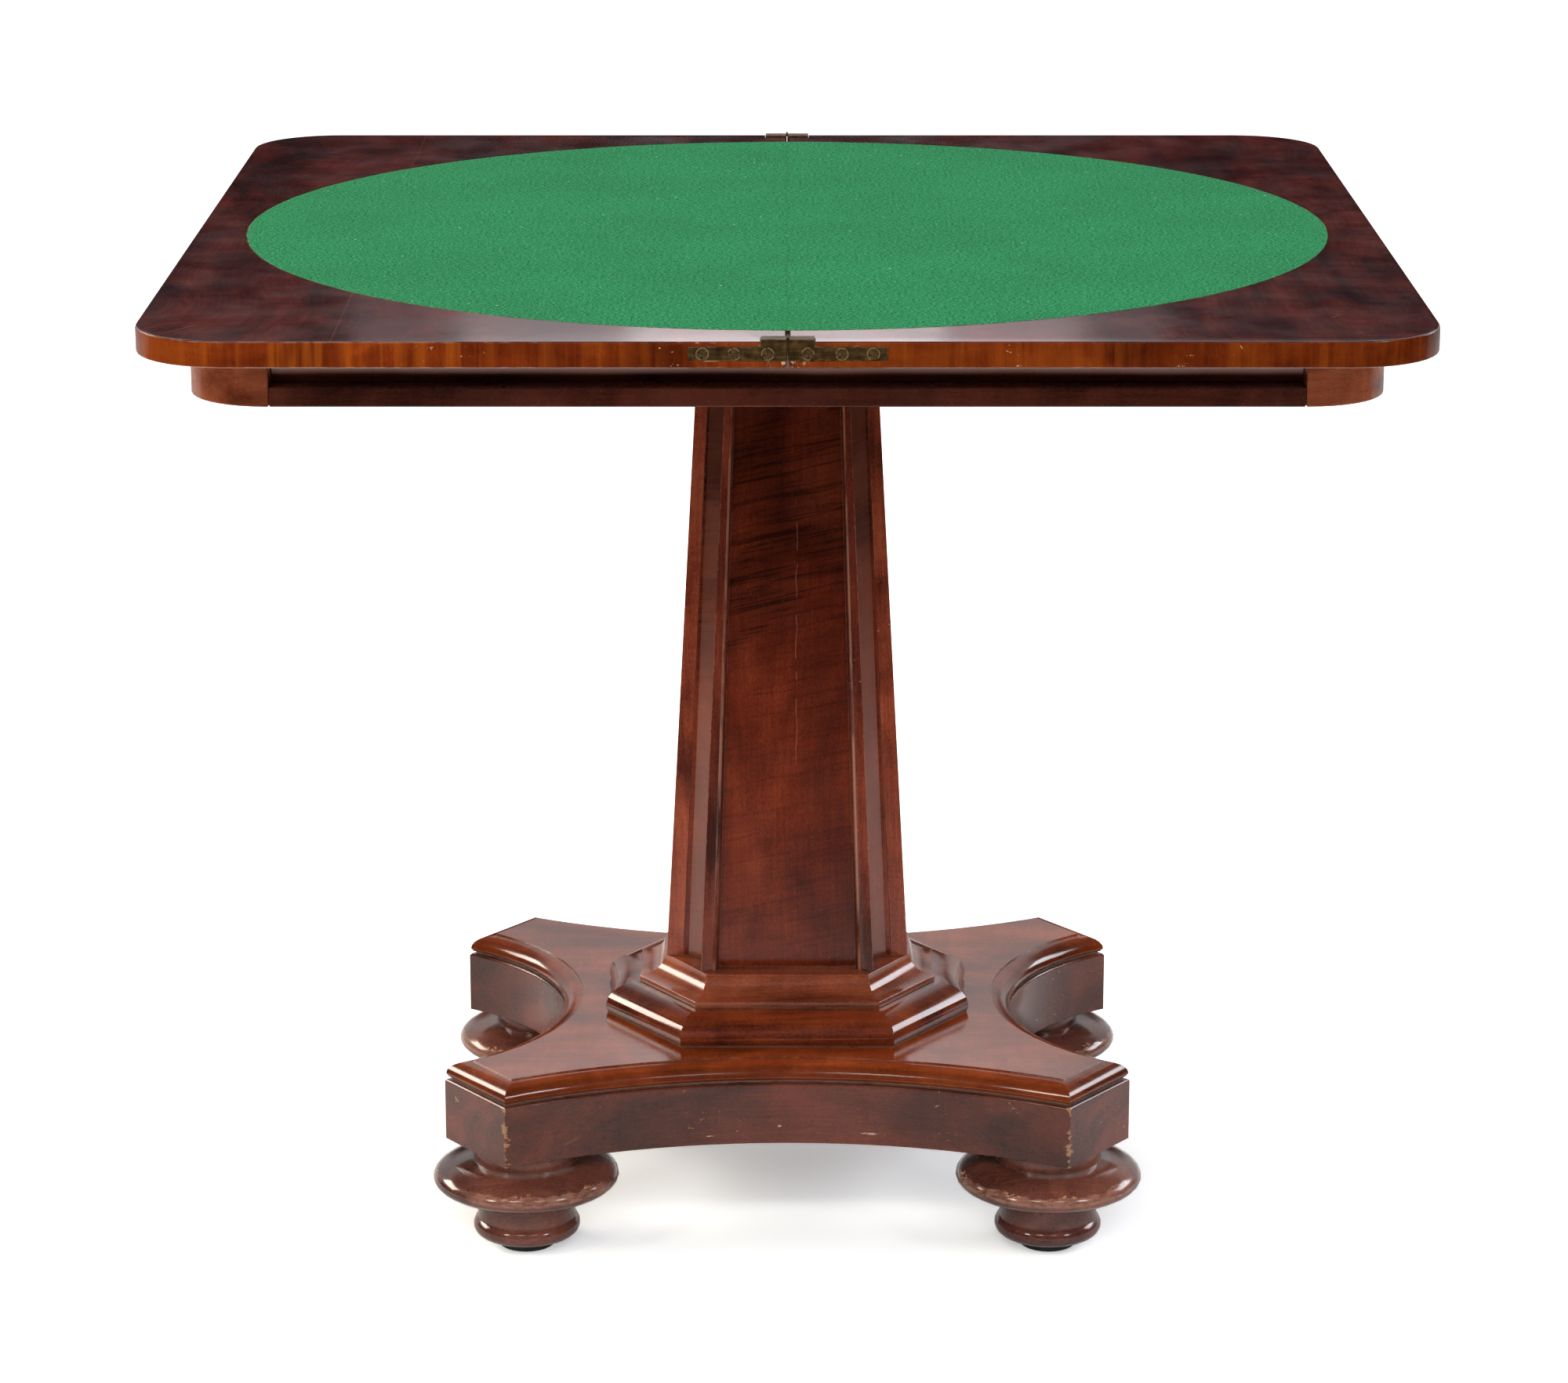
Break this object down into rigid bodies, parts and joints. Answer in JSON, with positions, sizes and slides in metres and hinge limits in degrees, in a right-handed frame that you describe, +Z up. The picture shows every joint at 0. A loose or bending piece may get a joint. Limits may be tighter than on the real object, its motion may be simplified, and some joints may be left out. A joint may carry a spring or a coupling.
{
  "type": "card table",
  "caption": "Pedestal card table with a square baize-lined top that folds in half and swivels on the frieze, on a hollow-sided platform with bun feet.",
  "frame": {"origin": "on the floor, under the middle of the open square top", "axes": "+Z up, -Y towards the front as pictured, +X to the right; the joint between the two leaves lies along Y at x = 0"},
  "size_m": [0.883, 0.888, 0.7599],
  "materials": {
    "top_wood": "polished dark mahogany veneer, glossy",
    "frieze_wood": "polished dark mahogany veneer, glossy",
    "carcase_wood": "plain unpolished softwood",
    "column_wood": "polished figured mahogany veneer",
    "base_wood": "polished red mahogany, worn edges",
    "baize": "green woollen baize, matte",
    "aged_brass": "dark aged brass",
    "iron": "dull iron",
    "glide_black": "black, satin"
  },
  "bodies": {
    "base": {"frieze_board_front": "frieze_wood", "frieze_board_back": "frieze_wood", "frieze_end_left": "frieze_wood", "frieze_end_right": "frieze_wood", "rail_front": "frieze_wood", "rail_back": "frieze_wood", "rail_left": "frieze_wood", "rail_right": "frieze_wood", "corner_block_front_left": "frieze_wood", "corner_block_front_right": "frieze_wood", "corner_block_back_left": "frieze_wood", "corner_block_back_right": "frieze_wood", "well_floor_left": "carcase_wood", "well_floor_right": "carcase_wood", "column_bearer": "carcase_wood", "well_partition": "carcase_wood", "pivot_rail": "carcase_wood", "column_shaft": "column_wood", "column_strip_front_left": "column_wood", "column_strip_front_right": "column_wood", "column_strip_back_left": "column_wood", "column_strip_back_right": "column_wood", "column_strip_left_front": "column_wood", "column_strip_left_back": "column_wood", "column_strip_right_front": "column_wood", "column_strip_right_back": "column_wood", "socle_cove": "base_wood", "socle_ovolo": "base_wood", "platform_plinth": "base_wood", "platform_top": "base_wood", "foot_front_left": "base_wood", "foot_front_right": "base_wood", "foot_back_left": "base_wood", "foot_back_right": "base_wood", "glide_front_left": "glide_black", "glide_front_right": "glide_black", "glide_back_left": "glide_black", "glide_back_right": "glide_black"},
    "top": {"leaf_fixed": "top_wood", "baize_fixed": "baize", "hinge_front_fixed": "aged_brass", "hinge_back_fixed": "aged_brass", "hinge_pin_front": "aged_brass", "hinge_pin_back": "aged_brass", "pivot_plate": "iron", "pivot_bolt": "iron", "pivot_washer": "iron", "pivot_nut": "iron"},
    "folding_leaf": {"leaf_folding": "top_wood", "baize_folding": "baize", "hinge_front_folding": "aged_brass", "hinge_back_folding": "aged_brass"}
  },
  "joints": [
    {"name": "top_swivel", "type": "hinge", "parent": "base", "child": "top", "pos_m": [0.11038, 0.11038, 0.7388], "axis": [0, 0, 1], "range_deg": [-90, 0]},
    {"name": "leaf_fold", "type": "hinge", "parent": "top", "child": "folding_leaf", "pos_m": [0, 0, 0.7589], "axis": [0, 1, 0], "range_deg": [0, 180]}
  ]
}
